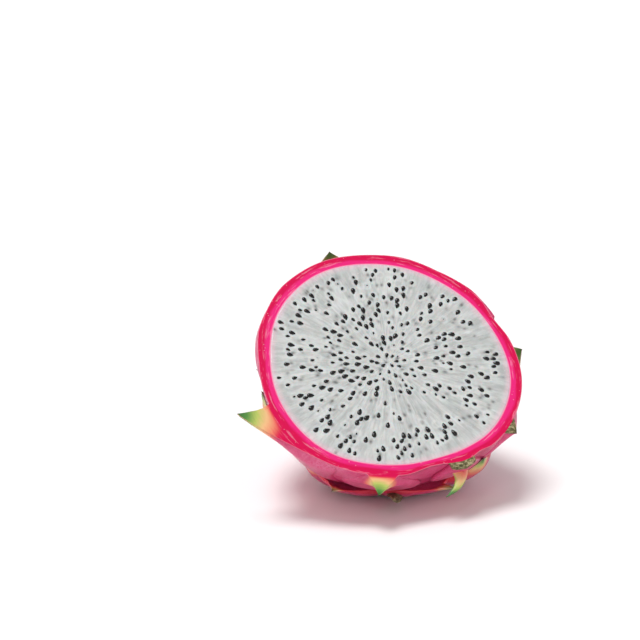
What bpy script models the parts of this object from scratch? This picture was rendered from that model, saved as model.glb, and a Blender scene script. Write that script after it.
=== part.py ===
"""A dragon fruit cut in half: the stem half, resting on its side with the cut face tilted up.

Metres, +Z up. The origin is the middle of the small flat spot that the fruit rests on.
The fruit is described in its own frame first: the axis runs from the stem end to the cut face,
angles go clockwise around it as seen from the cut face, 0 to the right and 90 towards the floor.
"""

import math
from collections import namedtuple

import bmesh
import bpy
from mathutils import Vector

# Driving dimensions
FACE_RADIUS = 0.049          # outer radius of the cut face, peel included
HALF_DEPTH = 0.060           # from the cut face to the stem end, along the axis
TAPER = 1.6                  # exponent of the outline: 2 is an ellipse, 1 a cone
LEAN = 0.13                  # the stem end is this much to the right for each unit of depth
PEEL_AT_RIM = 0.0042         # peel thickness at the cut
PEEL_AT_STEM = 0.0060        # peel thickness at the stem end
FACE_TILT = math.radians(48) # the cut face looks this far above the horizontal
REST_FLAT_DEPTH = 0.0008     # how far the peel is pressed flat where it rests
SCALE_THICKNESS = 0.0022     # a scale at the middle of its base
SCALE_TIP_THICKNESS = 0.0010
SCAR_RADIUS = 0.0055         # the dry scar left by the stem
SCAR_HEIGHT = 0.0030
FIT_GAP = 0.0003             # clearance between pieces that touch
SCAR_CLEARANCE = 0.0006      # from the scar to the nearest scales, along the skin
FLOOR_CLEARANCE = 0.0001     # scales that lie near the floor stop this far above it
LEAST_ROOM = 0.0009          # a scale near the resting spot starts where its peel is this high

# The shape of a scale, as shares of its length, width or thickness
WIDEST_AT = 0.30
BASE_WIDTH = 0.62
TIP_WIDTH = 0.05
BASE_THINNING = 0.55
EDGE_THINNING = 0.55
FULL_THICKNESS_AT = 0.25
BASE_STEP = 0.01  # how far a base moves at a time, as a share of the way from stem end to rim
RISE = 0.10  # the share of the way from stem end to rim over which it rises above the next row

# The stem scar's rim and its dish, as shares of its radius or height
SCAR_RIM, SCAR_DISH = 0.80, 0.45
SCAR_DISH_DEPTH = 0.25

# Mesh fineness
AROUND = 48
ALONG = 12
SCALE_ALONG = 8
SCALE_ACROSS = 4
SCAR_STEPS = 3
REST_STEPS = 400
SHARP_ANGLE = math.radians(40)

PINK = (0.72, 0.09, 0.24, 1.0)
CRIMSON = (0.75, 0.02, 0.15, 1.0)
WHITE = (0.80, 0.80, 0.78, 1.0)
BROWN = (0.33, 0.24, 0.12, 1.0)

# One scale. The angles are in degrees: of the middle of its base, of its tip, and half its width.
# base and tip lie between the stem end (0) and the rim (1). lift is how far the tip stands off,
# and clears is where the next row starts, which the scale has risen over by then.
Scale = namedtuple("Scale", "base_angle tip_angle half_width base tip lift clears")
NO_NEXT_ROW = 2.0

RIM_SCALES = {
    "left": Scale(138, 164, 17, 0.64, 1.02, 0.0150, NO_NEXT_ROW),
    "bottom": Scale(104, 104, 15, 0.69, 1.05, 0.0095, NO_NEXT_ROW),
    "bottom_right": Scale(66, 74, 11, 0.69, 1.02, 0.0110, NO_NEXT_ROW),
    "lower_right": Scale(33, 34, 15, 0.72, 1.03, 0.0050, NO_NEXT_ROW),
    "right": Scale(0, 0, 14, 0.70, 1.00, 0.0030, NO_NEXT_ROW),
    "upper_right": Scale(-37, -37, 17, 0.66, 1.01, 0.0020, NO_NEXT_ROW),
    "top_right": Scale(-71, -71, 14, 0.66, 0.95, 0.0020, NO_NEXT_ROW),
    "top": Scale(-104, -101, 14, 0.66, 1.02, 0.0062, NO_NEXT_ROW),
    "top_left": Scale(-133, -133, 12, 0.66, 0.94, 0.0020, NO_NEXT_ROW),
    "far_left": Scale(-166, -160, 15, 0.64, 1.01, 0.0020, NO_NEXT_ROW),
}

# The rows behind them: name, angles, half width, base, tip, lift and clears as above.
# The lower rows leave the side that lies on the floor bare: the peel is pressed flat there.
INNER_ROWS = [
    ("outer", (121, 86, 51, 16, -19, -54, -88, -118, -149, 176), 14, 0.50, 0.82, 0.0030, 0.64),
    ("middle", (140, 40, 2, -36, -71, -103, -134, -166), 15, 0.32, 0.62, 0.0022, 0.50),
    ("inner", (158, 22, -18, -55, -90, -125, -162), 17, 0.20, 0.42, 0.0015, 0.32),
    ("collar", (126, 54, -18, -90, -162), 28, 0.12, 0.26, 0.0008, 0.20),
]


def signed_power(base, exponent):
    return math.copysign(abs(base) ** exponent, base)


def profile(share, radius, depth):
    """A point on the outline: distance from the axis, and from the cut face (negative)."""
    turn = share * math.pi / 2
    across, along = math.sin(turn), math.cos(turn)
    return radius * across ** (2 / TAPER), -depth * signed_power(along, 2 / TAPER)


def share_at(distance):
    """Where the skin is this far from the axis, between the stem end (0) and the rim (1)."""
    return 2 / math.pi * math.asin((distance / FACE_RADIUS) ** (TAPER / 2))


def profile_normal(share, radius, depth):
    """The outward direction there."""
    distance, height = profile(share, radius, depth)
    out = (distance / radius) ** (TAPER - 1) / radius
    down = signed_power(height / depth, TAPER - 1) / depth
    return Vector((out, down)).normalized()


# The fruit's own frame, placed in the world
AXIS = Vector((0, -math.cos(FACE_TILT), math.sin(FACE_TILT)))
RIGHT = Vector((1, 0, 0))
UP_FACE = AXIS.cross(RIGHT)


def around(angle):
    return math.cos(angle) * RIGHT - math.sin(angle) * UP_FACE


def from_face(distance, height, angle):
    """A point of the fruit's own frame, seen from the centre of the cut face."""
    return distance * around(angle) + height * (AXIS - LEAN * RIGHT)


def rest_point():
    """The lowest point of the peel, seen from the centre of the cut face."""
    shares = [step / REST_STEPS for step in range(REST_STEPS + 1)]
    down = math.pi / 2
    points = [from_face(*profile(share, FACE_RADIUS, HALF_DEPTH), down) for share in shares]
    return min(points, key=lambda point: point.z)


REST = rest_point()
FACE_CENTRE = -REST - Vector((0, 0, REST_FLAT_DEPTH))


def place(distance, height, angle):
    """A point of the fruit's own frame in the world."""
    return FACE_CENTRE + from_face(distance, height, angle)


def skin_point(share, angle, lift):
    """A point above the outer skin, by a lift at right angles to it."""
    distance, height = profile(share, FACE_RADIUS, HALF_DEPTH)
    out = profile_normal(share, FACE_RADIUS, HALF_DEPTH)
    return place(distance + lift * out.x, height + lift * out.y, angle)


def material(name, colour, roughness):
    made = bpy.data.materials.new(name)
    made.use_nodes = True
    shader = made.node_tree.nodes["Principled BSDF"]
    shader.inputs["Base Color"].default_value = colour
    shader.inputs["Roughness"].default_value = roughness
    made.diffuse_color = colour
    return made


def finish(name, bm, slot):
    """Makes the named object from a closed mesh."""
    bmesh.ops.recalc_face_normals(bm, faces=bm.faces)
    mesh = bpy.data.meshes.new(name)
    bm.to_mesh(mesh)
    bm.free()
    mesh.materials.append(slot)
    mesh.shade_smooth()
    mesh.set_sharp_from_angle(angle=SHARP_ANGLE)
    made = bpy.data.objects.new(name, mesh)
    bpy.context.collection.objects.link(made)
    return made


def cut_flat(bm, point, normal):
    """Removes what lies beyond a plane, and closes the cut with flat faces."""
    cut = bmesh.ops.bisect_plane(
        bm, geom=bm.verts[:] + bm.edges[:] + bm.faces[:], dist=1e-6,
        plane_co=point, plane_no=normal, clear_outer=True,
    )
    edges = [part for part in cut["geom_cut"] if isinstance(part, bmesh.types.BMEdge)]
    if edges:
        bmesh.ops.edgeloop_fill(bm, edges=edges)


def turned(points):
    """Spins an outline of (distance, height) points around the fruit's axis."""
    bm = bmesh.new()
    corners = [bm.verts.new((distance, 0, height)) for distance, height in points]
    edges = [bm.edges.new(pair) for pair in zip(corners, corners[1:])]
    bmesh.ops.spin(
        bm, geom=corners + edges, cent=(0, 0, 0), axis=(0, 0, 1),
        angle=2 * math.pi, steps=AROUND, use_merge=True,
    )
    bmesh.ops.remove_doubles(bm, verts=bm.verts, dist=1e-6)
    for corner in bm.verts:
        turn = math.atan2(corner.co.y, corner.co.x)
        corner.co = place(corner.co.xy.length, corner.co.z, turn)
    return bm


def dome_outline(radius, depth):
    """From the pole at the stem end to the rim."""
    return [profile(step / ALONG, radius, depth) for step in range(ALONG + 1)]


def make_peel(slot):
    """The bowl of peel, with a flat ring at the cut and a small flat spot to rest on."""
    outer = dome_outline(FACE_RADIUS, HALF_DEPTH)
    inner = dome_outline(FACE_RADIUS - PEEL_AT_RIM, HALF_DEPTH - PEEL_AT_STEM)
    bm = turned(outer + inner[::-1])
    cut_flat(bm, Vector((0, 0, 0)), Vector((0, 0, -1)))
    return finish("peel", bm, slot)


def make_flesh(slot):
    """The white flesh that fills the bowl, flush with the cut."""
    radius = FACE_RADIUS - PEEL_AT_RIM - FIT_GAP
    depth = HALF_DEPTH - PEEL_AT_STEM - FIT_GAP
    return finish("flesh", turned(dome_outline(radius, depth) + [(0, 0)]), slot)


def make_scar(slot):
    """The corky scar at the stem end: a short dished disc that follows the skin."""
    share = share_at(SCAR_RADIUS)
    under = []
    for step in range(SCAR_STEPS + 1):
        distance, height = profile(share * step / SCAR_STEPS, FACE_RADIUS, HALF_DEPTH)
        under.append((distance, height - FIT_GAP))
    end = under[0][1] - SCAR_HEIGHT
    dish = end + SCAR_DISH_DEPTH * SCAR_HEIGHT
    over = [(SCAR_RIM * SCAR_RADIUS, end), (SCAR_DISH * SCAR_RADIUS, dish), (0, dish)]
    return finish("stem_scar", turned(under + over), slot)


def outline_share(along):
    """Half width of a scale along its length, as a share of the widest: round base, sharp tip."""
    if along < WIDEST_AT:
        return BASE_WIDTH + (1 - BASE_WIDTH) * math.sin(math.pi / 2 * along / WIDEST_AT)
    to_tip = (along - WIDEST_AT) / (1 - WIDEST_AT)
    return max(math.cos(math.pi / 2 * to_tip), TIP_WIDTH)


def smooth_step(low, high, value):
    share = min(max((value - low) / (high - low), 0), 1)
    return share * share * (3 - 2 * share)


def scale_point(scale, along, across, over):
    """Maps a slab of the scale (along 0..1, across -1..1, over 0 or 1) onto the fruit."""
    share = scale.base + (scale.tip - scale.base) * along
    angle = scale.base_angle + (scale.tip_angle - scale.base_angle) * along
    angle += scale.half_width * outline_share(along) * across
    rise_from = max(scale.clears - RISE, scale.base)
    risen = smooth_step(rise_from, rise_from + RISE, share)
    height = FIT_GAP + (SCALE_THICKNESS + FIT_GAP) * risen + scale.lift * along**3
    thick = SCALE_THICKNESS + (SCALE_TIP_THICKNESS - SCALE_THICKNESS) * along
    thick *= 1 - EDGE_THINNING * across**2
    thick *= 1 - BASE_THINNING * (1 - smooth_step(0, FULL_THICKNESS_AT, along))
    return skin_point(share, math.radians(angle), height + over * thick)


def with_room(scale):
    """Moves a base off the scar, and away from the resting spot until it fits above the floor."""
    scale = scale._replace(base=max(scale.base, share_at(SCAR_RADIUS + SCAR_CLEARANCE)))
    while min(scale_point(scale, 0, across, 0).z for across in (-1, 0, 1)) < LEAST_ROOM:
        scale = scale._replace(base=scale.base + BASE_STEP)
    return scale


def make_scale(name, slot, scale):
    """One leaf-like scale, growing from its base towards the cut face and lifting at its tip."""
    scale = with_room(scale)
    bm = bmesh.new()
    bmesh.ops.create_grid(bm, x_segments=SCALE_ALONG, y_segments=SCALE_ACROSS, size=1)
    raised = bmesh.ops.extrude_face_region(bm, geom=bm.faces[:], use_keep_orig=True)
    for part in raised["geom"]:
        if isinstance(part, bmesh.types.BMVert):
            part.co.z = 1
    for corner in bm.verts:
        corner.co = scale_point(scale, (corner.co.x + 1) / 2, corner.co.y, corner.co.z)
    cut_flat(bm, FACE_CENTRE, AXIS)
    cut_flat(bm, Vector((0, 0, FLOOR_CLEARANCE)), Vector((0, 0, -1)))
    return finish("scale_" + name, bm, slot)


def main():
    for old in list(bpy.data.objects):
        bpy.data.objects.remove(old)
    skin = material("skin", PINK, 0.45)
    make_peel(material("cut_peel", CRIMSON, 0.35))
    make_flesh(material("flesh", WHITE, 0.30))
    make_scar(material("scar", BROWN, 0.85))
    for name, scale in RIM_SCALES.items():
        make_scale("rim_" + name, skin, scale)
    for row, angles, *sizes in INNER_ROWS:
        for number, angle in enumerate(angles, 1):
            make_scale(f"{row}_{number}", skin, Scale(angle, angle, *sizes))


main()
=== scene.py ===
"""The looks of the cut dragon fruit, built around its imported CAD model. Metres, +Z up.

The fruit is described in its own frame, as in the CAD model: the axis runs from the stem end to
the cut face, and angles go clockwise around it as seen from the cut face, 0 to the right and 90
towards the floor. A share says how far along the skin a point lies: 0 at the stem end, 1 at the rim.
"""

import math
from collections import namedtuple

import bpy
import numpy as np
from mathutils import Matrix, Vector


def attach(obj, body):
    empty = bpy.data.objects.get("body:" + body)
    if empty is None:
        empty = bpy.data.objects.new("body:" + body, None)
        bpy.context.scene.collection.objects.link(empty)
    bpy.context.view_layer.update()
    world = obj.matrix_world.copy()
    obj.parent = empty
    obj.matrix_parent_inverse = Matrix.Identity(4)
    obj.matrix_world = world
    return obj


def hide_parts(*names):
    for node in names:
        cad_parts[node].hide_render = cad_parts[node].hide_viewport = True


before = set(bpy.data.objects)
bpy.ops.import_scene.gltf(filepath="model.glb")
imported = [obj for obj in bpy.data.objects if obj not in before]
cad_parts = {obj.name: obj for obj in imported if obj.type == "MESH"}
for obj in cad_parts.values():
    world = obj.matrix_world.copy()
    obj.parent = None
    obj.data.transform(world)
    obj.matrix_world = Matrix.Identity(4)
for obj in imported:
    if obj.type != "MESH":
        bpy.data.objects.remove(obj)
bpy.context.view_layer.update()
RANDOM_START = 7
rng = np.random.default_rng(RANDOM_START)

MM = 0.001

# ---------------------------------------------------------------- the fruit's frame, from the CAD

TAPER = 1.6                   # exponent of the outline: 2 is an ellipse, 1 a cone
LEAN = 0.13                   # the stem end is this much to the right for each unit of depth
FACE_TILT = math.radians(48)  # the cut face looks this far above the horizontal
FLAT_TOLERANCE = 0.01 * MM
FLOOR_GAP = 0.15 * MM         # what hangs near the floor stops this far above it

AXIS = np.array((0.0, -math.cos(FACE_TILT), math.sin(FACE_TILT)))
RIGHT = np.array((1.0, 0.0, 0.0))
UP_FACE = np.cross(AXIS, RIGHT)
TO_FACE = AXIS - LEAN * RIGHT


def node_points(name):
    """The corners of a CAD node's mesh."""
    return np.array([vertex.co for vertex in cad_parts[name].data.vertices])


def cut_face(name):
    """Centre and radius of a node's round cut face, and its depth behind it."""
    points = node_points(name)
    heights = points @ AXIS
    ring = points[heights > heights.max() - FLAT_TOLERANCE]
    centre = (ring.min(0) + ring.max(0)) / 2
    return centre, np.linalg.norm(ring - centre, axis=1).max(), np.ptp(heights)


FACE_CENTRE, FLESH_RADIUS, FLESH_DEPTH = cut_face("flesh")
_, RIM_RADIUS, SKIN_DEPTH = cut_face("peel")


def place(distance, height, angle):
    """Points of the fruit's own frame in the world."""
    distance, height, angle = np.broadcast_arrays(distance, height, angle)
    around = np.cos(angle)[..., None] * RIGHT - np.sin(angle)[..., None] * UP_FACE
    return FACE_CENTRE + distance[..., None] * around + height[..., None] * TO_FACE


def to_fruit(points):
    """Share, angle and lift above the skin of points in the world."""
    offset = points - FACE_CENTRE
    height = offset @ AXIS
    across = offset - height[..., None] * TO_FACE
    x, y = across @ RIGHT, -(across @ UP_FACE)
    distance = np.hypot(x, y)
    out = (distance / RIM_RADIUS) ** TAPER
    down = (np.maximum(-height, 0) / SKIN_DEPTH) ** TAPER
    share = 2 / math.pi * np.arctan2(np.sqrt(out), np.sqrt(down))
    lift = (1 - (out + down) ** (-1 / TAPER)) * np.hypot(distance, height)
    return share, np.arctan2(y, x), lift


def profile(share, radius, depth):
    """The outline: distance from the axis, and height above the cut face (negative)."""
    turn = np.clip(share, 0, 1) * math.pi / 2
    return radius * np.sin(turn) ** (2 / TAPER), -depth * np.cos(turn) ** (2 / TAPER)


def skin_point(share, angle, lift):
    """Points at a lift above the outer skin, at right angles to it."""
    distance, height = profile(share, RIM_RADIUS, SKIN_DEPTH)
    out = (distance / RIM_RADIUS) ** (TAPER - 1) / RIM_RADIUS
    down = -((-height / SKIN_DEPTH) ** (TAPER - 1)) / SKIN_DEPTH
    size = np.hypot(out, down)
    lift = lift + waves(angle) * smooth_step(0.1, 1, share)
    return place(distance + lift * out / size, height + lift * down / size, angle)


def short_turn(angle):
    """The same turn, between half a turn back and half a turn ahead."""
    return (angle + math.pi) % (2 * math.pi) - math.pi


def smooth_step(low, high, value):
    """Runs smoothly from 0 to 1 while the value goes from low to high, or back if high is lower."""
    share = np.clip((value - low) / (high - low), 0, 1)
    return share * share * (3 - 2 * share)


# The fruit isn't quite round: waves round its axis (how many, size, the angle where the first peaks)
WAVES = ((2, 0.80 * MM, 0), (3, 1.10 * MM, 18), (4, 0.45 * MM, 41), (9, 0.12 * MM, 10))


def waves(angle):
    """How far the skin stands out at an angle."""
    return sum(size * np.cos(count * (angle - math.radians(peak))) for count, size, peak in WAVES)


# ---------------------------------------------------------------- meshes

def above_floor(points):
    """The same points, with any that are too low raised to just above the floor."""
    points = points.copy()
    points[..., 2] = np.maximum(points[..., 2], FLOOR_GAP)
    return points


def grid_faces(rows, columns, start=0, wrap=False):
    """Four-sided faces of a grid of points, joined round its columns if wrap is set."""
    row, column = np.meshgrid(np.arange(rows - 1), np.arange(columns - (not wrap)), indexing="ij")
    after = (column + 1) % columns
    corners = [row * columns + after, row * columns + column]
    corners += [(row + 1) * columns + column, (row + 1) * columns + after]
    return start + np.stack(corners, -1).reshape(-1, 4)


def both_sides(values):
    """The same values on a slab's upper and lower grid."""
    return np.stack([values, values])


def slab_faces(rows, columns):
    """Faces of a closed slab: an upper grid, the lower grid that follows it, and the sides."""
    size = rows * columns
    index = np.arange(size).reshape(rows, columns)
    loop = np.array([*index[0], *index[1:, -1], *index[-1, -2::-1], *index[-2:0:-1, 0]])
    after = np.roll(loop, -1)
    sides = np.stack([loop, after, after + size, loop + size], -1)
    lower = grid_faces(rows, columns, size)[:, ::-1]
    return np.concatenate([grid_faces(rows, columns), lower, sides])


def add_piece(name, points, faces, materials, replaced=(), attributes=None, face_materials=None):
    """Adds a smooth mesh that rides on the fruit, with named values or vectors at its points."""
    points = points.reshape(-1, 3)
    mesh = bpy.data.meshes.new(name)
    mesh.from_pydata(points.tolist(), [], faces.tolist())
    for made in materials:
        mesh.materials.append(made)
    if face_materials is not None:
        mesh.polygons.foreach_set("material_index", face_materials.astype(np.int32))
    for title, values in (attributes or {}).items():
        values = np.asarray(values, np.float32).reshape(len(points), -1)
        kind, field = ("FLOAT_VECTOR", "vector") if values.shape[1] == 3 else ("FLOAT", "value")
        layer = mesh.attributes.new(title, kind, "POINT")
        layer.data.foreach_set(field, values.ravel())
    mesh.shade_smooth()
    mesh.validate()
    mesh.update()
    piece = bpy.data.objects.new(name, mesh)
    bpy.context.scene.collection.objects.link(piece)
    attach(piece, "root")
    if replaced:
        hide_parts(*replaced)


# ---------------------------------------------------------------- materials

# The places of the colours among a mix node's sockets
MIX_FIRST, MIX_SECOND, MIXED = 6, 7, 2
SOCKETS = {
    "coat_weight": "Coat Weight", "coat_roughness": "Coat Roughness",
    "subsurface_weight": "Subsurface Weight", "subsurface_scale": "Subsurface Scale",
    "specular_ior_level": "Specular IOR Level",
}


class Graph:
    """A material, and short ways to add nodes to it."""

    def __init__(self, name, **settings):
        self.material = bpy.data.materials.new(name)
        self.material.use_nodes = True
        self.tree = self.material.node_tree
        self.shader = self.tree.nodes["Principled BSDF"]
        for title, value in settings.items():
            self.shader.inputs[SOCKETS[title]].default_value = value

    def put(self, socket, value):
        if isinstance(value, bpy.types.NodeSocket):
            self.tree.links.new(value, socket)
        elif isinstance(value, tuple) and len(value) == 3 and socket.type == "RGBA":
            socket.default_value = (*value, 1)
        else:
            socket.default_value = value

    def attribute(self, name, output="Fac"):
        node = self.tree.nodes.new("ShaderNodeAttribute")
        node.attribute_name = name
        return node.outputs[output]

    def place(self):
        return self.tree.nodes.new("ShaderNodeTexCoord").outputs["Object"]

    def math(self, operation, first, second=0.0, third=0.0):
        node = self.tree.nodes.new("ShaderNodeMath")
        node.operation = operation
        for socket, value in zip(node.inputs, (first, second, third)):
            self.put(socket, value)
        return node.outputs[0]

    def stretch(self, vector, sizes):
        node = self.tree.nodes.new("ShaderNodeVectorMath")
        node.operation = "MULTIPLY"
        self.put(node.inputs[0], vector)
        node.inputs[1].default_value = sizes
        return node.outputs[0]

    def noise(self, vector, scale, detail=2.0, roughness=0.5):
        node = self.tree.nodes.new("ShaderNodeTexNoise")
        self.put(node.inputs["Vector"], vector)
        node.inputs["Scale"].default_value = scale
        node.inputs["Detail"].default_value = detail
        node.inputs["Roughness"].default_value = roughness
        return node.outputs["Fac"]

    def wander(self, vector, scale):
        """A vector that wanders from place to place."""
        node = self.tree.nodes.new("ShaderNodeTexNoise")
        self.put(node.inputs["Vector"], vector)
        node.inputs["Scale"].default_value = scale
        return node.outputs["Color"]

    def cells(self, vector, scale):
        """The distance to the nearest of many scattered points."""
        node = self.tree.nodes.new("ShaderNodeTexVoronoi")
        self.put(node.inputs["Vector"], vector)
        node.inputs["Scale"].default_value = scale
        return node.outputs["Distance"]

    def between(self, value, low, high, first=0.0, last=1.0):
        """Runs smoothly from first to last while the value goes from low to high."""
        node = self.tree.nodes.new("ShaderNodeMapRange")
        node.interpolation_type = "SMOOTHSTEP"
        for socket, given in zip(node.inputs, (value, low, high, first, last)):
            self.put(socket, given)
        return node.outputs[0]

    def ramp(self, value, stops):
        node = self.tree.nodes.new("ShaderNodeValToRGB")
        self.put(node.inputs[0], value)
        elements = node.color_ramp.elements
        elements[0].position, elements[1].position = stops[0][0], stops[-1][0]
        elements[0].color, elements[1].color = (*stops[0][1], 1), (*stops[-1][1], 1)
        for position, colour in stops[1:-1]:
            elements.new(position).color = (*colour, 1)
        return node.outputs[0]

    def mix(self, factor, first, second, blend="MIX"):
        node = self.tree.nodes.new("ShaderNodeMix")
        node.data_type = "RGBA"
        node.blend_type = blend
        self.put(node.inputs["Factor"], factor)
        self.put(node.inputs[MIX_FIRST], first)
        self.put(node.inputs[MIX_SECOND], second)
        return node.outputs[MIXED]

    def bump(self, height, strength, distance, below=None):
        node = self.tree.nodes.new("ShaderNodeBump")
        node.inputs["Strength"].default_value = strength
        node.inputs["Distance"].default_value = distance
        self.put(node.inputs["Height"], height)
        if below is not None:
            self.put(node.inputs["Normal"], below)
        return node.outputs[0]

    def finish(self, colour, roughness, normal):
        self.put(self.shader.inputs["Base Color"], colour)
        self.put(self.shader.inputs["Roughness"], roughness)
        self.put(self.shader.inputs["Normal"], normal)
        return self.material


DEEP_PINK = (0.45, 0.016, 0.085)
PINK = (0.60, 0.046, 0.160)
PALE_PINK = (0.74, 0.27, 0.42)
PORE = (0.34, 0.010, 0.055)
RED = (0.70, 0.030, 0.045)
SALMON = (0.76, 0.20, 0.13)
PEACH = (0.78, 0.46, 0.22)
YELLOW_GREEN = (0.44, 0.50, 0.12)
GREEN = (0.10, 0.26, 0.06)
DARK_GREEN = (0.022, 0.095, 0.022)
CORK = (0.17, 0.145, 0.065)
DARK_CORK = (0.045, 0.040, 0.018)
PALE_CORK = (0.56, 0.48, 0.28)
MAGENTA = (0.76, 0.018, 0.18)
CRIMSON = (0.62, 0.002, 0.070)
CUT_EDGE = (0.88, 0.42, 0.56)
FLESH = (0.465, 0.478, 0.468)
FLESH_LIGHT = (0.66, 0.67, 0.66)
FLESH_GREY = (0.36, 0.373, 0.366)
FLESH_PINK = (0.80, 0.50, 0.58)
SEED_BLACK = (0.004, 0.004, 0.005)
SEED_BROWN = (0.012, 0.009, 0.008)


def ripe_colours(graph, ripe, below):
    """The colours towards a scale's tip: red, salmon, peach and then green."""
    tip = graph.ramp(ripe, [
        (0.0, RED), (0.22, SALMON), (0.42, PEACH), (0.60, YELLOW_GREEN),
        (0.80, GREEN), (1.0, DARK_GREEN),
    ])
    return graph.mix(graph.between(ripe, 0.0, 0.24), below, tip)


def corky(graph, below, normal):
    """Dry, cracked cork where the cork value says so."""
    where = graph.place()
    fibres = graph.noise(graph.stretch(where, (1, 1, 2.0)), 700, 5, 0.75)
    colour = graph.ramp(fibres, [(0.36, DARK_CORK), (0.50, CORK), (0.64, PALE_CORK)])
    amount = graph.math("ADD", graph.attribute("cork"), graph.math("MULTIPLY", fibres, 0.25))
    amount = graph.between(amount, 0.45, 0.65)
    rough = graph.bump(graph.math("MULTIPLY", fibres, amount), 0.9, 0.6 * MM, normal)
    return graph.mix(amount, below, colour), rough, amount


def make_skin():
    """The waxy pink skin of the peel and its scales, with green tips, painted shade in the creases and a
    painted highlight along the scales' edges near their tips.
    """
    graph = Graph("skin", coat_weight=0.16, coat_roughness=0.30, specular_ior_level=0.35,
                  subsurface_weight=0.05, subsurface_scale=1.5 * MM)
    where = graph.place()
    grain = graph.attribute("grain", "Vector")
    ripe = graph.attribute("ripe")
    clouds = graph.noise(where, 55, 4, 0.6)
    fine = graph.noise(where, 1500, 2, 0.6)
    bent = graph.mix(0.012, grain, graph.wander(where, 90), "ADD")
    veins = graph.noise(graph.stretch(bent, (1, 0.16, 1)), 1300, 4, 0.65)
    pores = graph.between(graph.cells(where, 1100), 0.10, 0.30, 1.0, 0.0)
    pores = graph.math("MULTIPLY", pores, graph.between(graph.noise(where, 300, 2), 0.45, 0.6))
    colour = graph.ramp(clouds, [(0.32, DEEP_PINK), (0.50, PINK), (0.75, PINK)])
    colour = graph.mix(graph.between(veins, 0.48, 0.74, 0.0, 0.26), colour, PALE_PINK)
    # pale pink patches scattered at random over the skin
    pale_patches = graph.between(graph.noise(where, 38, 5, 0.65), 0.50, 0.70)
    pale_patches = graph.math("MULTIPLY", pale_patches, graph.between(fine, 0.35, 0.62))
    colour = graph.mix(graph.math("MULTIPLY", pale_patches, 0.42), colour, PALE_PINK)
    # painted shade: deep pink in the creases between scales and at a pad's foot, under the scale before
    colour = graph.mix(graph.math("MULTIPLY", graph.attribute("painted_crease_shade"), 0.6), colour, DEEP_PINK)
    colour = graph.mix(graph.math("MULTIPLY", pores, 0.6), colour, PORE)
    margin_and_edge_highlight = graph.between(graph.attribute("margin_and_edge_highlight"), 0.62, 0.98)
    colour = graph.mix(graph.math("MULTIPLY", margin_and_edge_highlight, 0.75), colour, RED)
    ripe = graph.math("MULTIPLY_ADD", graph.math("SUBTRACT", veins, 0.5), 0.22, ripe)
    colour = ripe_colours(graph, ripe, colour)
    # painted highlight: a thin pale line along a scale's edges near its coloured tip
    edge_highlight = graph.between(graph.attribute("margin_and_edge_highlight"), 0.93, 1.0)
    edge_highlight = graph.math("MULTIPLY", edge_highlight, graph.between(ripe, 0.2, 0.5, 0.0, 0.5))
    colour = graph.mix(edge_highlight, colour, PALE_PINK)
    height = graph.math("MULTIPLY_ADD", fine, 0.35, graph.math("MULTIPLY", veins, 0.6))
    height = graph.math("SUBTRACT", height, graph.math("MULTIPLY", pores, 0.8))
    normal = graph.bump(graph.noise(where, 140, 3, 0.55), 0.5, 1.6 * MM)
    normal = graph.bump(height, 0.35, 0.25 * MM, normal)
    colour, normal, cork = corky(graph, colour, normal)
    roughness = graph.between(clouds, 0.3, 0.7, 0.32, 0.48)
    roughness = graph.math("MULTIPLY_ADD", cork, 0.4, roughness)
    return graph.finish(colour, roughness, normal)


def make_cut_peel():
    """The moist cut through the peel: a pale line, then magenta, then crimson, with streaks, and a painted
    highlight along its outer edge.
    """
    graph = Graph("cut_peel", coat_weight=0.10, coat_roughness=0.12, specular_ior_level=0.15,
                  subsurface_weight=0.05, subsurface_scale=2 * MM)
    around = graph.attribute("around", "Vector")
    depth = graph.attribute("depth")
    streaks = graph.noise(graph.stretch(around, (5, 5, 5.5)), 1, 4, 0.62)
    wander = graph.noise(graph.stretch(around, (3, 3, 0.8)), 1, 2, 0.5)
    level = graph.math("MULTIPLY_ADD", graph.math("SUBTRACT", wander, 0.5), 0.5, depth)
    level = graph.math("MULTIPLY_ADD", graph.math("SUBTRACT", streaks, 0.5), 0.35, level)
    colour = graph.ramp(level, [(0.0, MAGENTA), (0.40, MAGENTA), (0.58, CRIMSON), (1.0, CRIMSON)])
    light = graph.between(streaks, 0.56, 0.66, 0.0, 0.35)
    colour = graph.mix(light, colour, CUT_EDGE)
    colour = graph.mix(graph.between(depth, 0.02, 0.14, 0.80, 0.0), colour, CUT_EDGE)
    # painted highlight: a pale line along the ring's outer edge
    colour = graph.mix(graph.between(graph.attribute("margin_and_edge_highlight"), 0.2, 1.0, 0.0, 0.45), colour, CUT_EDGE)
    specks = graph.between(graph.cells(graph.place(), 420), 0.05, 0.11, 1.0, 0.0)
    colour = graph.mix(graph.math("MULTIPLY", specks, 0.35), colour, FLESH_LIGHT)
    ripe = graph.math("MULTIPLY_ADD", graph.math("SUBTRACT", streaks, 0.5), 0.20, graph.attribute("ripe"))
    colour = ripe_colours(graph, ripe, colour)
    normal = graph.bump(streaks, 0.25, 0.35 * MM)
    colour, normal, cork = corky(graph, colour, normal)
    return graph.finish(colour, graph.math("MULTIPLY_ADD", cork, 0.5, 0.27), normal)


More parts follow.
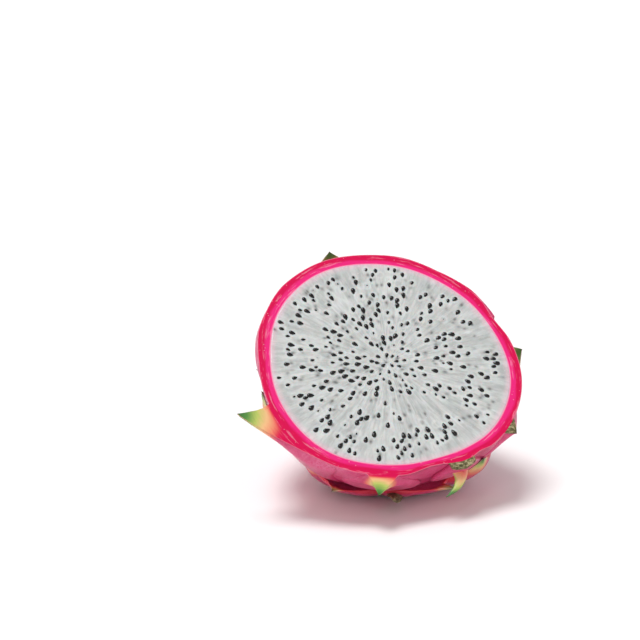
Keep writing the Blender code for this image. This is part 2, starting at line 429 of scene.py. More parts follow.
def make_flesh_material():
    """Moist, slightly clear white flesh with fibres that run out from its middle, painted glints, and a
    painted highlight round each seed.
    """
    graph = Graph("flesh", coat_weight=0.20, coat_roughness=0.10, specular_ior_level=0.4,
                  subsurface_weight=0.20, subsurface_scale=3 * MM)
    around = graph.attribute("around", "Vector")
    where = graph.place()
    fibres = graph.noise(graph.stretch(around, (24, 24, 6)), 1, 3, 0.6)
    broad = graph.noise(graph.stretch(around, (8, 8, 2.5)), 1, 3, 0.6)
    clouds = graph.noise(where, 130, 4, 0.65)
    grains = graph.noise(where, 1300, 2, 0.6)
    level = graph.math("MULTIPLY_ADD", fibres, 0.36, graph.math("MULTIPLY", broad, 0.34))
    level = graph.math("MULTIPLY_ADD", clouds, 0.30, level)
    colour = graph.ramp(level, [(0.36, FLESH_GREY), (0.48, FLESH), (0.66, FLESH_LIGHT)])
    colour = graph.mix(graph.between(grains, 0.60, 0.75, 0.0, 0.35), colour, FLESH_LIGHT)
    colour = graph.mix(graph.between(graph.attribute("depth"), 0.94, 1.0, 0.0, 0.55), colour, FLESH_PINK)
    # painted glints: small light specks on the wet flesh
    specks = graph.between(graph.cells(where, 380), 0.04, 0.10, 0.8, 0.0)
    colour = graph.mix(specks, colour, FLESH_LIGHT)
    # painted highlight: a pale ring round each seed
    colour = graph.mix(graph.math("MULTIPLY", graph.attribute("painted_seed_highlight"), 0.55), colour, FLESH_LIGHT)
    colour = graph.mix(graph.attribute("shade"), colour, SEED_BROWN)
    height = graph.math("MULTIPLY_ADD", grains, 0.5, fibres)
    normal = graph.bump(height, 0.30, 0.30 * MM)
    roughness = graph.between(fibres, 0.35, 0.65, 0.22, 0.36)
    return graph.finish(colour, roughness, normal)


def make_seed_material():
    """Glossy black seed coats."""
    graph = Graph("seed", coat_weight=0.2, coat_roughness=0.05, specular_ior_level=0.3)
    where = graph.place()
    grains = graph.noise(where, 2500, 2)
    colour = graph.mix(graph.between(grains, 0.4, 0.7), SEED_BLACK, SEED_BROWN)
    roughness = graph.between(grains, 0.3, 0.7, 0.10, 0.16)
    return graph.finish(colour, roughness, graph.bump(grains, 0.10, 0.03 * MM))


def make_scar_material():
    """Dry, fibrous cork where the stem was."""
    graph = Graph("scar")
    where = graph.place()
    fibres = graph.cells(where, 1300)
    tufts = graph.noise(where, 600, 4, 0.7)
    level = graph.math("MULTIPLY_ADD", fibres, 0.5, graph.math("MULTIPLY", tufts, 0.8))
    colour = graph.ramp(level, [(0.30, DARK_CORK), (0.55, CORK), (0.80, PALE_CORK)])
    roughness = graph.between(tufts, 0.3, 0.7, 0.75, 0.95)
    return graph.finish(colour, roughness, graph.bump(level, 1.0, 0.8 * MM))


# ---------------------------------------------------------------- scales

Scale = namedtuple("Scale", "base_angle tip_angle half_width base tip")
END_BAND = 0.12  # the share of a scale's length over which its base and tip are measured


def measured(name):
    """Where a CAD scale starts, where its tip is, and how wide it is."""
    share, angle, _ = to_fruit(node_points(name))
    low, high = share.min(), share.max()
    band = END_BAND * (high - low)

    def middle(where):
        return math.atan2(np.sin(angle[where]).mean(), np.cos(angle[where]).mean())

    base_angle, tip_angle = middle(share < low + band), middle(share > high - band)
    turned = short_turn(angle - base_angle)
    along = (share - low) / (high - low)
    turn = short_turn(tip_angle - base_angle)
    half_width = np.abs(turned - turn * along).max()
    return Scale(base_angle, base_angle + turn, half_width, low, high)


# How a scale looks: how much wider than the CAD's, how far its tip reaches past it (a share), how
# far it stands off, how much it is puffed up, how long its coloured end is, cork, how many degrees
# its tip turns, and how hollow the sides of its spike are
Look = namedtuple("Look", "widen reach lift puff ripe_length cork turn spike_power", defaults=(1.3,))
ROW_LOOKS = {
    "outer": Look(1.40, 0.06, 9.0 * MM, 4.4 * MM, 15 * MM, 0.0, 0),
    "middle": Look(1.46, 0.12, 10.0 * MM, 4.8 * MM, 14 * MM, 0.0, 0),
    "inner": Look(1.46, 0.09, 7.0 * MM, 4.2 * MM, 9 * MM, 0.2, 0),
    "collar": Look(1.22, 0.03, 2.2 * MM, 3.2 * MM, 4.0 * MM, 0.9, 0),
}
OWN_LOOKS = {
    "scale_rim_top": Look(1.75, 0.0, 4.1 * MM, 1.0 * MM, 13 * MM, 0.0, -1, 1.1),
    "scale_rim_right": Look(1.3, 0.0, 3.4 * MM, 1.0 * MM, 15 * MM, 0.0, 0, 1.1),
    "scale_outer_1": Look(1.42, 0.0, 6.0 * MM, 3.4 * MM, 9 * MM, 0.15, 4, 1.5),
    "scale_outer_2": Look(1.42, 0.0, 6.0 * MM, 3.0 * MM, 9 * MM, 0.0, -12, 1.5),
}
LEAF_ROWS, LEAF_COLUMNS = 52, 29
BURIED = 1.2 * MM  # how far the foot of a scale reaches under the skin, and the scar too
MARGIN_THICKNESS = 0.60 * MM
TIP_THICKNESS = 0.40 * MM
PAD_MIDDLE, PAD_END = 0.32, 0.66  # where a pad is widest and where it ends, as shares of the scale
PAD_FOOT = 0.42  # it narrows towards its foot as if it started this far before its middle
SPIKE_START = 0.46
SPIKE_WIDTH = 0.70  # of the pad's
LEAST_LIFT = 0.7 * MM  # every tip may stand off this far
SIDE_ROOM = 1.6 * MM  # how far inside the rim a tip at the fruit's sides stays
LAST_SHARE = 0.985  # no free scale reaches nearer the rim
LOOSE_TURN = 0.05  # how far a tip turns at random, in radians
KEEL = 0.8 * MM  # the ridge along a spike
ROLL = 0.7 * MM  # how far a spike's sides roll up
GRAIN_STRETCH = 1.3


def leaf_outline(along, spike_power):
    """Half width of a scale: a broad rounded pad that narrows, with hollow sides, to a spike."""
    past = along - PAD_MIDDLE
    half_length = np.where(past < 0, PAD_FOOT, PAD_END - PAD_MIDDLE)
    pad = np.sqrt(np.clip(1 - (past / half_length) ** 2, 0, 1))
    spike = SPIKE_WIDTH * np.clip((1 - along) / (1 - SPIKE_START), 0, 1) ** spike_power
    spike = np.where(along > SPIKE_START, spike, SPIKE_WIDTH * pad)
    return (pad**3 + spike**3) ** (1 / 3)


def room_to_lift(share, angle):
    """How far a tip may stand off without showing past the rim at the fruit's sides."""
    distance, height = profile(share, RIM_RADIUS, SKIN_DEPTH)
    low = max(0.0, math.sin(angle)) ** 8
    room = RIM_RADIUS - distance + 0.6 * height * math.sin(angle) + 6 * MM * low - SIDE_ROOM
    return max(room, LEAST_LIFT)


def slab_grid(rows, columns):
    """How far each point of a slab lies along it, 0 to 1, and across it, -1 to 1."""
    return np.meshgrid(np.linspace(0, 1, rows), np.linspace(-1, 1, columns), indexing="ij")


def skin_grain(share, angle, shift):
    """Where the veins of the skin are drawn: they run from the stem end to the rim."""
    grain = (angle * RIM_RADIUS, share * SKIN_DEPTH * GRAIN_STRETCH, shift)
    return np.stack(np.broadcast_arrays(*grain), -1)


def make_leaf(name, scale, look, skin):
    """One free scale: its pad grows out of the skin, and its spike stands off."""
    along, across = slab_grid(LEAF_ROWS, LEAF_COLUMNS)
    width = leaf_outline(along, look.spike_power)
    tip = min(scale.tip + look.reach, LAST_SHARE)
    share = scale.base + (tip - scale.base) * along
    bend = math.radians(look.turn) + rng.uniform(-LOOSE_TURN, LOOSE_TURN)
    angle = scale.base_angle + (scale.tip_angle - scale.base_angle) * along
    angle = angle + bend * smooth_step(0.35, 1, along)
    angle = angle + scale.half_width * look.widen * width * across
    most = look.lift * rng.uniform(0.85, 1.15)
    if name not in OWN_LOOKS:
        most = min(most, room_to_lift(tip, scale.tip_angle))
    lift = most * np.clip((along - 0.50) / 0.50, 0, 1) ** 1.6
    puff = look.puff * rng.uniform(0.9, 1.1) * smooth_step(0, 0.30, along) * smooth_step(0.92, 0.46, along)
    dome = (1 - np.abs(across) ** 2.4) ** 0.6
    thick = MARGIN_THICKNESS + (TIP_THICKNESS - MARGIN_THICKNESS) * along
    thick = thick * (1 - 0.5 * across**2) * np.sqrt(np.clip((1.02 - along) / 0.1, 0, 1))
    keel = KEEL * smooth_step(0.5, 0.7, along) * smooth_step(1.0, 0.85, along) * (1 - np.abs(across))
    free = smooth_step(0.44, 0.68, along)
    roll = ROLL * free * smooth_step(1.0, 0.7, along) * np.abs(across) ** 3
    top = lift + puff * dome + thick + roll + keel
    bottom = (lift + 0.8 * puff * dome + roll) * free - BURIED * (1 - free)
    upper, lower = skin_point(share, angle, top), skin_point(share, angle, bottom)
    points = above_floor(np.stack([upper, lower]))
    tip_point = points[0, -1, LEAF_COLUMNS // 2]
    away = np.linalg.norm(points - tip_point, axis=-1)
    ripe = np.clip(1 - away / look.ripe_length, 0, 1)
    margin_and_edge_highlight = both_sides(np.abs(across) * smooth_step(0.30, 0.55, along))
    # painted shade along a scale's sides and at its foot, where it comes out from under the one before
    painted_side_shade = smooth_step(0.62, 1.0, np.abs(across)) * smooth_step(0.6, 0.4, along)
    painted_crease_shade = both_sides(np.maximum(smooth_step(0.34, 0.10, along), painted_side_shade))
    grain = both_sides(skin_grain(share, angle, rng.uniform()))
    cork = look.cork * ripe
    attributes = {"ripe": ripe, "cork": cork, "margin_and_edge_highlight": margin_and_edge_highlight, "painted_crease_shade": painted_crease_shade, "grain": grain}
    faces = slab_faces(LEAF_ROWS, LEAF_COLUMNS)
    add_piece(name, points, faces, [skin], [name], attributes)


# ---------------------------------------------------------------- scales that the knife went through

# A cut scale reaches furthest past the ring at its peak, an angle in degrees. Before and after are
# how far it spreads to the sides, in degrees, power is how hollow its sides are, its end is coloured
# over ripe_length, or is cork, and puff is how much it is puffed up behind the ring.
Fin = namedtuple("Fin", "peak reach before after power ripe_length cork puff")
FINS = {
    "scale_rim_left": Fin(162.0, 12.3 * MM, 36, 2.4, 2.3, 18 * MM, 0, 2.0 * MM),
    "scale_rim_bottom": Fin(104.9, 8.2 * MM, 6.8, 6.8, 1.15, 11 * MM, 0, 1.5 * MM),
    "scale_rim_bottom_right": Fin(67.5, 2.9 * MM, 6.2, 6.2, 0.30, 0, 1, 1.0 * MM),
    "scale_rim_lower_right": Fin(39.4, 3.6 * MM, 5.6, 3.0, 0.9, 0, 1, 1.0 * MM),
    "scale_rim_upper_right": Fin(-37.0, 0.8 * MM, 17, 17, 0.9, 0, 0, 1.5 * MM),
    "scale_rim_top_right": Fin(-71.0, 0.4 * MM, 15, 15, 1.0, 0, 0, 1.5 * MM),
    "scale_rim_top_left": Fin(-133.0, 0.4 * MM, 12, 12, 1.0, 0, 0, 1.5 * MM),
    "scale_rim_far_left": Fin(-160.0, 0.7 * MM, 15, 12, 0.9, 0, 0, 1.5 * MM),
}
# Where the knife crossed a crease between two scales: angle and half width in degrees, and depth
CREASES = ((81, 15, 1.8 * MM), (-20, 14, 1.2 * MM), (57, 6, 0.7 * MM))
HOOK = math.radians(2.6)  # how far clockwise a cut scale's tip leans, at HOOK_REACH past the ring
HOOK_REACH = 12.4 * MM
FIN_ROWS, FIN_COLUMNS = 40, 61
FIN_WIDEN = 1.25      # how much wider than the CAD's a cut scale's base is
PLATE = 0.25 * MM     # how far the cut scales start behind the cut
EDGE_DEPTH = 0.5 * MM  # how thick the ring's outer edge is


def fin_side(fin, angle):
    """How far round the scale an angle lies: 0 at its peak, -1 and 1 where it ends."""
    turned = np.degrees(short_turn(angle - math.radians(fin.peak)))
    return np.where(turned < 0, turned / fin.before, turned / fin.after)


def fin_reach(fin, side):
    """How far past the ring the cut scale reaches."""
    return fin.reach * np.clip(1 - np.abs(side), 0, 1) ** fin.power


def hooked(angle, reach):
    """The angle of a point of a cut scale, which leans more the further out it is."""
    return angle + HOOK * (reach / HOOK_REACH) ** 2


def ring_reach(angle):
    """How far past the ring the cut scales reach."""
    return np.max([fin_reach(fin, fin_side(fin, angle)) for fin in FINS.values()], axis=0)


def ring_creases(angle):
    """How far the ring's edge draws in at the creases."""
    total = np.zeros_like(angle)
    for middle, half_width, depth in CREASES:
        turned = np.degrees(short_turn(angle - math.radians(middle)))
        total = total + depth * np.clip(1 - (turned / half_width) ** 2, 0, 1) ** 2
    return total


def fin_tip(fin):
    """Where the tip of a cut scale is, in the world."""
    angle = math.radians(fin.peak)
    return place(RIM_RADIUS + waves(angle) + fin.reach, 0.0, hooked(angle, fin.reach))


def ripeness(points, angle, reach):
    """How ripe-coloured and how corky the cut is at these points, by the cut scales near them."""
    ripe, cork = np.zeros(points.shape[:-1]), np.zeros(points.shape[:-1])
    for fin in FINS.values():
        if fin.ripe_length:
            away = np.linalg.norm(points - fin_tip(fin), axis=-1)
            near = np.clip(1 - away / fin.ripe_length, 0, 1)
            ripe = np.maximum(ripe, near * smooth_step(-0.3 * MM, 2.0 * MM, reach))
        if fin.cork:
            inside = np.abs(fin_side(fin, angle)) < 1.05
            cork = np.maximum(cork, inside * smooth_step(-0.6 * MM, 0.6 * MM, reach))
    return ripe, cork


def make_fin(name, fin, skin):
    """The uncut rest of a scale that the knife went through, behind the cut."""
    scale = measured(name)
    along, side = slab_grid(FIN_ROWS, FIN_COLUMNS)
    share = scale.base + (1 - scale.base) * along
    peak = math.radians(fin.peak)
    turn = short_turn(peak - scale.base_angle)
    centre = peak - turn * (1 - along)
    base_half = scale.half_width * FIN_WIDEN
    edge = np.radians(np.where(side < 0, fin.before, fin.after))
    spread = base_half + (edge - base_half) * smooth_step(0.35, 1, along)
    shape = np.sqrt(np.clip(1 - (1 - along / 0.45).clip(0, 1) ** 2, 0, 1))
    spread = spread * (0.4 + 0.6 * shape)
    angle = centre + spread * side
    fade = smooth_step(0.30, 1.0, along) ** (1.3 + 8 * fin_reach(fin, side) / HOOK_REACH)
    puff = fin.puff * smooth_step(0, 0.4, along) * smooth_step(1.0, 0.75, along)
    reach = fin_reach(fin, side) * fade
    height = reach + puff * (1 - np.abs(side) ** 2.6) ** 0.6
    upper = skin_point(share, hooked(angle, reach), height)
    lower = skin_point(share, angle, np.full_like(height, -BURIED))
    behind = PLATE * smooth_step(0.6, 1, along)[..., None] * AXIS
    points = above_floor(np.stack([upper, lower]) - behind)
    ripe, cork = ripeness(points, angle, np.stack([reach, np.full_like(reach, -MM)]))
    cork = cork * smooth_step(0.93, 0.99, along)
    margin_and_edge_highlight = both_sides(np.abs(side) / 2)
    grain = both_sides(skin_grain(share, angle, rng.uniform()))
    attributes = {"ripe": ripe, "cork": cork, "margin_and_edge_highlight": margin_and_edge_highlight, "grain": grain}
    faces = slab_faces(FIN_ROWS, FIN_COLUMNS)
    add_piece(name, points, faces, [skin], [name], attributes)


# Loose ends of scales that hang below the ring: the angle, share and lift in mm of points along their
# middle, their half widths there in mm, their thickness, the length of their coloured end, and cork
Blade = namedtuple("Blade", "angles shares lifts half_widths thick ripe_length cork")
BLADES = {
    "scale_claw": Blade((68.0, 69.2, 71.2, 74.6, 80.8), (0.94,) * 5, (-1.6, 1.8, 4.8, 7.4, 9.8),
                        (3.7, 3.1, 1.9, 1.2, 0.05), 0.9 * MM, 15 * MM, 0),
    "scale_stub": Blade((96.0, 96.5, 97.5, 99.5), (0.64, 0.70, 0.75, 0.78), (-0.5, 2.0, 3.6, 4.2),
                        (3.2, 2.9, 2.2, 1.0), 1.5 * MM, 40 * MM, 1),
}
BLADE_ROWS, BLADE_COLUMNS = 34, 13
CUP = -0.35  # how far a blade's edges curl back, as a share of its half width
GREEN_EDGE = 0.25  # how much greener a blade is along its edges
SMOOTH_ROWS = 7


def smooth_run(values):
    """Values spaced evenly along a blade, joined by a smooth curve with one value to a row."""
    run = np.interp(np.linspace(0, 1, BLADE_ROWS), np.linspace(0, 1, len(values)), values)
    padded = np.pad(run, SMOOTH_ROWS // 2, "edge")
    return np.convolve(padded, np.full(SMOOTH_ROWS, 1 / SMOOTH_ROWS), "valid")


def make_blade(name, blade, skin):
    """A tapered, flattened end of a scale, curved along its length."""
    angle = smooth_run(blade.angles)
    half = smooth_run(blade.half_widths)[:, None] * MM
    centre = skin_point(smooth_run(blade.shares), np.radians(angle), smooth_run(blade.lifts) * MM)
    ahead = np.gradient(centre, axis=0)
    side = np.cross(AXIS, ahead)
    side /= np.linalg.norm(side, axis=1)[:, None]
    face = np.cross(ahead, side)
    face /= np.linalg.norm(face, axis=1)[:, None]
    along, across = slab_grid(BLADE_ROWS, BLADE_COLUMNS)
    middle = centre[:, None] + side[:, None] * (across * half)[..., None]
    thick = blade.thick * (1.1 - along) * np.sqrt(np.clip(1.05 - across**2, 0, 1))
    cup = CUP * half * across**2
    rise = np.stack([cup + thick / 2, cup - thick / 2])
    points = above_floor(middle + face[:, None] * rise[..., None])
    away = np.linalg.norm(points - centre[-1], axis=-1)
    ripe = np.clip(1 - away / blade.ripe_length, 0, 1) * (1 - blade.cork)
    edge = both_sides(np.abs(across))
    attributes = {
        "ripe": np.clip(ripe + GREEN_EDGE * edge**4 * (ripe > 0), 0, 1), "margin_and_edge_highlight": edge / 2,
        "cork": np.full_like(ripe, blade.cork), "grain": points,
    }
    faces = slab_faces(BLADE_ROWS, BLADE_COLUMNS)
    add_piece(name, points, faces, [skin], attributes=attributes)


# ---------------------------------------------------------------- peel

FLESH_INSET = 0.1 * MM
FLESH_WAVES = 0.95  # how closely the flesh follows the fruit's waves


def flesh_edge(angle):
    """The flesh's outline in the cut: it follows the fruit's waves."""
    return FLESH_RADIUS - FLESH_INSET + FLESH_WAVES * waves(angle)


def flesh_outside(share, angle):
    """Distance and height of the flesh's outside: even at the stem end, and wavy towards the cut."""
    distance, height = profile(share, FLESH_RADIUS, FLESH_DEPTH)
    return distance + (flesh_edge(angle) - FLESH_RADIUS) * share**4, height


AROUND = 640
RING_ROWS = 26
EDGE_HIGHLIGHT_WIDTH = 0.5 * MM  # how wide the painted highlight, a pale line along the ring's outer edge, is
WALL_START = 0.985    # the share where the outer skin starts, just behind the ring
SKIN_ROWS = 80
INNER_ROWS = 24
BOWL_GAP = 0.02 * MM  # the inside of the bowl stays this far behind the cut


def round_axis(angles, depth):
    """Where streaks are drawn: round the axis, and outwards by depth."""
    return np.stack(np.broadcast_arrays(np.cos(angles), np.sin(angles), depth), -1)


def make_peel(skin, cut):
    """The bowl of peel: its cut ring, its outer skin and the inside that holds the flesh."""
    angles = np.arange(AROUND) * 2 * math.pi / AROUND
    ring_edge = RIM_RADIUS + waves(angles) - ring_creases(angles)
    inner = flesh_edge(angles)
    outer = ring_edge + ring_reach(angles)
    step = np.linspace(0, 1, RING_ROWS)[:, None]
    distance_in_ring = inner + (outer - inner) * step
    reach = distance_in_ring - ring_edge
    turned = hooked(angles, np.maximum(reach, 0))
    ring = place(distance_in_ring, 0.0, turned)
    edge = place(outer, -EDGE_DEPTH, turned[-1])[None]
    share = np.linspace(WALL_START, 0.0, SKIN_ROWS)[:, None]
    wall = skin_point(share, angles, -ring_creases(angles) * smooth_step(0.6, 1, share))
    inside = np.linspace(0.0, 1.0, INNER_ROWS)[:, None]
    distance, height = flesh_outside(inside, angles)
    bowl = place(distance, np.minimum(height, -BOWL_GAP), angles)
    points = above_floor(np.concatenate([ring, edge, wall, bowl]))
    rows = len(points)
    faces = grid_faces(rows, AROUND, wrap=True)[:, ::-1]
    ring_faces = np.arange(len(faces)) < (RING_ROWS - 1) * AROUND
    reaches = np.full((rows, AROUND), -MM)
    reaches[:RING_ROWS] = reach
    ripe, cork = ripeness(points, angles, reaches)
    margin_and_edge_highlight = np.zeros((rows, AROUND))
    # painted highlight: a pale line along the ring's outer edge
    margin_and_edge_highlight[:RING_ROWS] = smooth_step(EDGE_HIGHLIGHT_WIDTH, 0.0, (1 - step) * (outer - inner))
    depth = np.ones((rows, AROUND))
    depth[:RING_ROWS] = (distance_in_ring - inner) / (ring_edge - inner)
    shares = np.ones((rows, 1))
    shares[RING_ROWS + 1:RING_ROWS + 1 + SKIN_ROWS] = share
    attributes = {
        "ripe": ripe, "cork": cork, "depth": np.minimum(depth, 1), "margin_and_edge_highlight": margin_and_edge_highlight,
        "around": round_axis(angles, depth), "grain": skin_grain(shares, angles, 0.5),
    }
    add_piece("peel_bowl", points, faces, [skin, cut], ["peel"], attributes, ring_faces)


# ---------------------------------------------------------------- flesh and seeds

SEED_LENGTH, SEED_WIDTH, SEED_HEIGHT = 2.7 * MM, 1.95 * MM, 1.2 * MM
SEED_COUNT = 310
GHOST_COUNT = 240
SEED_FREE = 0.95     # no seeds past this share of the flesh's radius
CLUSTER_SPREAD = 2.6 * MM
SEED_SPACING = 2.05 * MM
# The middle of the cut is crowded
MIDDLE_COUNT, MIDDLE_SPREAD, MIDDLE_SPACING, MIDDLE_SIZE = 22, 4.2 * MM, 1.9 * MM, 0.75
SEED_ROWS, SEED_AROUND = 11, 12


def scatter_seeds():
    """Places on the cut face: loose clusters, denser in the middle, that never overlap."""
    places = []
    while len(places) < MIDDLE_COUNT:
        spot = rng.normal(0, MIDDLE_SPREAD, 2)
        if all(np.hypot(*(spot - other)) > MIDDLE_SPACING for other in places):
            places.append(spot)
    while len(places) < SEED_COUNT:
        radius = FLESH_RADIUS * SEED_FREE * rng.uniform(0, 1) ** 0.56
        turn = rng.uniform(0, 2 * math.pi)
        centre = radius * np.array((math.cos(turn), math.sin(turn)))
        for _ in range(rng.integers(1, 5)):
            spot = centre + rng.normal(0, CLUSTER_SPREAD, 2)
            clear = all(np.hypot(*(spot - other)) > SEED_SPACING for other in places)
            if np.hypot(*spot) < FLESH_RADIUS * SEED_FREE and clear:
                places.append(spot)
    return np.array(places)


def flat_place(spots, height):
    """Places on the cut face, at a height above it, in the world."""
    return place(np.hypot(spots[..., 0], spots[..., 1]), height, np.arctan2(spots[..., 1], spots[..., 0]))


def make_seeds(spots, black):
    """Small drop-shaped seeds, half sunk in the flesh, pointing at its middle."""
    ends, turns = np.linspace(0, math.pi, SEED_ROWS), np.arange(SEED_AROUND) * 2 * math.pi / SEED_AROUND
    length, turn = np.meshgrid(ends, turns, indexing="ij")
    fat = np.sin(length) * (0.35 + 0.65 * np.sin(length / 2) ** 1.5) * 1.12
    shape = np.stack([-np.cos(length) * 0.5, fat * np.cos(turn) * 0.5, fat * np.sin(turn) * 0.5], -1)
    faces = grid_faces(SEED_ROWS, SEED_AROUND, wrap=True)
    all_points, all_faces = [], []
    for number, spot in enumerate(spots):
        size = rng.choice((0.66, 0.9, 1.0, 1.0)) * rng.uniform(0.94, 1.06)
        if number < MIDDLE_COUNT:
            size = min(size, MIDDLE_SIZE)
        way = math.atan2(spot[1], spot[0]) + rng.normal(0, 0.28)
        sizes = np.array((SEED_LENGTH, SEED_WIDTH, SEED_HEIGHT)) * size
        body = shape * sizes
        x = spot[0] + body[..., 0] * math.cos(way) - body[..., 1] * math.sin(way)
        y = spot[1] + body[..., 0] * math.sin(way) + body[..., 1] * math.cos(way)
        sunk = rng.uniform(-0.30, 0.12) * SEED_HEIGHT
        all_points.append(flat_place(np.stack([x, y], -1), body[..., 2] + sunk).reshape(-1, 3))
        all_faces.append(faces + number * len(all_points[-1]))
    add_piece("seeds", np.concatenate(all_points), np.concatenate(all_faces), [black])


FACE_ROWS, FACE_AROUND, FLESH_ROWS = 120, 540, 30
GHOST_SPREAD, GHOST_LONG, GHOST_WIDE = 1.8 * MM, 0.9 * MM, 0.6 * MM
HIGHLIGHT_RADIUS, HIGHLIGHT_WIDTH = 1.4 * MM, 0.45 * MM  # of the painted highlight, a pale ring round each seed
FLESH_SLACK = 0.05 * MM  # between the flesh and the peel
INNERMOST = 0.002  # the first row of the cut face is a very small circle, as a share of its radius
LOOSE_FREE = 0.93  # loose dim seeds lie within this share of the flesh's radius


def dim_seeds(x, y, spots):
    """How dark the flesh is where seeds lie just below its cut face: near other seeds, and loose."""
    half = GHOST_COUNT // 2
    near = spots[rng.integers(0, len(spots), half)] + rng.normal(0, GHOST_SPREAD, (half, 2))
    turn = rng.uniform(0, 2 * math.pi, half)
    away = FLESH_RADIUS * LOOSE_FREE * np.sqrt(rng.uniform(0, 1, half))
    loose = np.stack([away * np.cos(turn), away * np.sin(turn)], -1)
    shade = np.zeros_like(x)
    for ghost in np.concatenate([near, loose]):
        way = math.atan2(ghost[1], ghost[0]) + rng.normal(0, 0.3)
        dx, dy = x - ghost[0], y - ghost[1]
        long = dx * math.cos(way) + dy * math.sin(way)
        wide = dy * math.cos(way) - dx * math.sin(way)
        size = rng.uniform(0.8, 1.1)
        blur = np.exp(-((long / (GHOST_LONG * size)) ** 2 + (wide / (GHOST_WIDE * size)) ** 2))
        shade = np.maximum(shade, rng.uniform(0.25, 0.80) * blur)
    return shade


def seed_highlights(x, y, spots):
    """The painted highlight round each seed: how pale the flesh is painted in a ring round it."""
    pale = np.zeros_like(x)
    for spot in spots:
        away = np.hypot(x - spot[0], y - spot[1])
        pale = np.maximum(pale, np.exp(-(((away - HIGHLIGHT_RADIUS) / HIGHLIGHT_WIDTH) ** 2)))
    return pale


def make_flesh(spots, flesh):
    """The white flesh, with seeds that show dimly from below its cut face, and a painted highlight round
    each seed.
    """
    angles = np.arange(FACE_AROUND) * 2 * math.pi / FACE_AROUND
    step = np.linspace(0.0, 1, FACE_ROWS)[:, None]
    step[0] = INNERMOST
    radius = flesh_edge(angles) * step
    face = place(radius, 0.0, angles)
    inside = np.linspace(1.0, 0.0, FLESH_ROWS)[1:, None]
    distance, height = flesh_outside(inside, angles)
    wall = place(distance - FLESH_SLACK * inside, height, angles)
    x, y = radius * np.cos(angles), radius * np.sin(angles)
    points = np.concatenate([face, wall])
    rows = len(points)
    shade, painted_seed_highlight = np.zeros((2, rows, FACE_AROUND))
    shade[:FACE_ROWS] = dim_seeds(x, y, spots)
    # painted highlight: a pale ring round each seed
    painted_seed_highlight[:FACE_ROWS] = seed_highlights(x, y, spots)
    depth = np.ones((rows, FACE_AROUND))
    depth[:FACE_ROWS] = step
    attributes = {"around": round_axis(angles, depth), "shade": shade, "painted_seed_highlight": painted_seed_highlight, "depth": depth}
    faces = grid_faces(rows, FACE_AROUND, wrap=True)[:, ::-1]
    add_piece("flesh_body", points, faces, [flesh], ["flesh"], attributes)


# ---------------------------------------------------------------- stem scar

SCAR_ROWS, SCAR_AROUND = 22, 96
SCAR_BUMP = 0.25 * MM


def make_scar(cork):
    """The dry scar at the stem end: a rough rim round a dished, fibrous middle."""
    share, _, lift = to_fruit(node_points("stem_scar"))
    edge, height = share.max(), lift.max()
    angles = np.arange(SCAR_AROUND) * 2 * math.pi / SCAR_AROUND
    step = np.linspace(0, 1, SCAR_ROWS)[:, None]
    bumps = rng.normal(0, 1, (SCAR_ROWS, SCAR_AROUND))
    bumps = (bumps + np.roll(bumps, 1, 1) + np.roll(bumps, -1, 1)) / 3
    rise = height * (0.55 + 0.45 * smooth_step(0.25, 0.7, step)) * smooth_step(1.0, 0.82, step)
    rise = rise + SCAR_BUMP * bumps * smooth_step(1.0, 0.8, step)
    wavy = 1 + 0.05 * np.sin(5 * angles + 1) + 0.03 * np.sin(11 * angles)
    rise[0] = rise[0].mean()
    upper = skin_point(edge * step * wavy, angles, rise)
    lower = skin_point(edge * step[::-1] * wavy, angles, -BURIED)
    points = above_floor(np.concatenate([upper, lower]))
    faces = grid_faces(len(points), SCAR_AROUND, wrap=True)
    add_piece("scar", points, faces, [cork], ["stem_scar"])


# ---------------------------------------------------------------- floor, lights and camera

FLOOR_WHITE = (0.90, 0.895, 0.89)
FLOOR_ROUGHNESS = 0.6
FLOOR_HALF = 4.0  # metres from its middle to its sides


def add_floor():
    """A plain white table, wide enough to fill the camera's view."""
    graph = Graph("floor")
    graph.shader.inputs["Base Color"].default_value = (*FLOOR_WHITE, 1)
    graph.shader.inputs["Roughness"].default_value = FLOOR_ROUGHNESS
    mesh = bpy.data.meshes.new("floor")
    corners = [(x * FLOOR_HALF, y * FLOOR_HALF, 0) for x, y in ((-1, -1), (1, -1), (1, 1), (-1, 1))]
    mesh.from_pydata(corners, [], [(0, 1, 2, 3)])
    mesh.materials.append(graph.material)
    floor = bpy.data.objects.new("floor", mesh)
    bpy.context.scene.collection.objects.link(floor)


def add_light(name, kind, where, size, energy):
    """A soft light that shines on the fruit: a sun's size is in degrees, a lamp's in metres."""
    light = bpy.data.lights.new(name, kind)
    light.energy = energy
    if kind == "SUN":
        light.angle = math.radians(size)
    else:
        light.size = size
    lamp = bpy.data.objects.new(name, light)
    lamp.location = where
    lamp.rotation_euler = (Vector(FACE_CENTRE) - Vector(where)).to_track_quat("-Z", "Y").to_euler()
    bpy.context.scene.collection.objects.link(lamp)


LOW_SKY, HIGH_SKY = 0.1, 0.8  # the sines of the elevations between which the studio gets darker


def add_world(at_horizon, overhead):
    """A white studio, brighter low down than overhead."""
    world = bpy.data.worlds.new("studio")
    world.use_nodes = True
    tree = world.node_tree
    background = tree.nodes["Background"]
    background.inputs["Color"].default_value = (1, 1, 1, 1)
    way = tree.nodes.new("ShaderNodeTexCoord")
    parts = tree.nodes.new("ShaderNodeSeparateXYZ")
    level = tree.nodes.new("ShaderNodeMapRange")
    level.interpolation_type = "SMOOTHSTEP"
    values = {"From Min": LOW_SKY, "From Max": HIGH_SKY, "To Min": at_horizon, "To Max": overhead}
    for title, value in values.items():
        level.inputs[title].default_value = value
    tree.links.new(way.outputs["Generated"], parts.inputs[0])
    tree.links.new(parts.outputs["Z"], level.inputs["Value"])
    tree.links.new(level.outputs[0], background.inputs["Strength"])
    bpy.context.scene.world = world


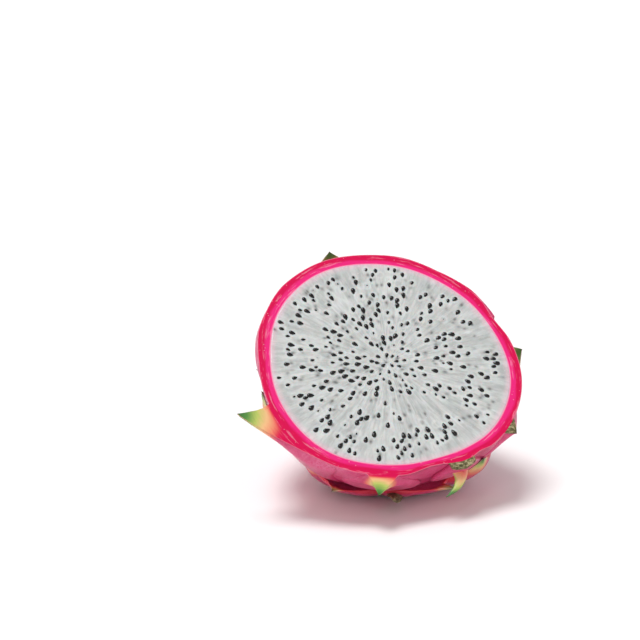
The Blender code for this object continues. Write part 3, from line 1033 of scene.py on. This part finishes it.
CAMERA_AZIMUTH, CAMERA_ELEVATION = math.radians(-15), math.radians(15)
CAMERA_DISTANCE = 0.655
LENS, SENSOR, NEAR_CLIP = 100, 36, 0.01  # millimetres, millimetres, metres
AIM_LEFT, AIM_UP = 25.2 * MM, 15.5 * MM  # the view's centre, seen from the middle of the cut face


def add_camera():
    """A long lens a little above the table, to the left of the way that the cut face looks."""
    sine, cosine, level = math.sin(CAMERA_AZIMUTH), math.cos(CAMERA_AZIMUTH), math.cos(CAMERA_ELEVATION)
    back = Vector((sine * level, -cosine * level, math.sin(CAMERA_ELEVATION)))
    right = Vector((cosine, sine, 0))
    up = back.cross(right)
    aim = Vector(FACE_CENTRE) - AIM_LEFT * right + AIM_UP * up
    camera = bpy.data.cameras.new("camera")
    camera.lens, camera.sensor_width, camera.clip_start = LENS, SENSOR, NEAR_CLIP
    holder = bpy.data.objects.new("camera", camera)
    holder.location = aim + CAMERA_DISTANCE * back
    holder.rotation_euler = (-back).to_track_quat("-Z", "Y").to_euler()
    bpy.context.scene.collection.objects.link(holder)
    bpy.context.scene.camera = holder


# ---------------------------------------------------------------- the fruit

skin_material = make_skin()
cut_material = make_cut_peel()
make_peel(skin_material, cut_material)
for fin_name, fin in FINS.items():
    make_fin(fin_name, fin, skin_material)
for node_name in sorted(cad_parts):
    row = node_name.split("_")[1] if node_name.startswith("scale_") else ""
    look = OWN_LOOKS.get(node_name, ROW_LOOKS.get(row))
    if look:
        make_leaf(node_name, measured(node_name), look, skin_material)
for blade_name, blade in BLADES.items():
    make_blade(blade_name, blade, skin_material)
seed_spots = scatter_seeds()
make_flesh(seed_spots, make_flesh_material())
make_seeds(seed_spots, make_seed_material())
make_scar(make_scar_material())

add_floor()
add_world(at_horizon=1.0, overhead=0.42)
add_light("key", "SUN", where=(-0.20, 0.03, 0.95), size=26, energy=2.25)
add_light("spark", "AREA", where=(-0.45, -0.75, 0.70), size=0.07, energy=0.5)
add_camera()
bpy.context.scene.view_settings.view_transform = "Standard"
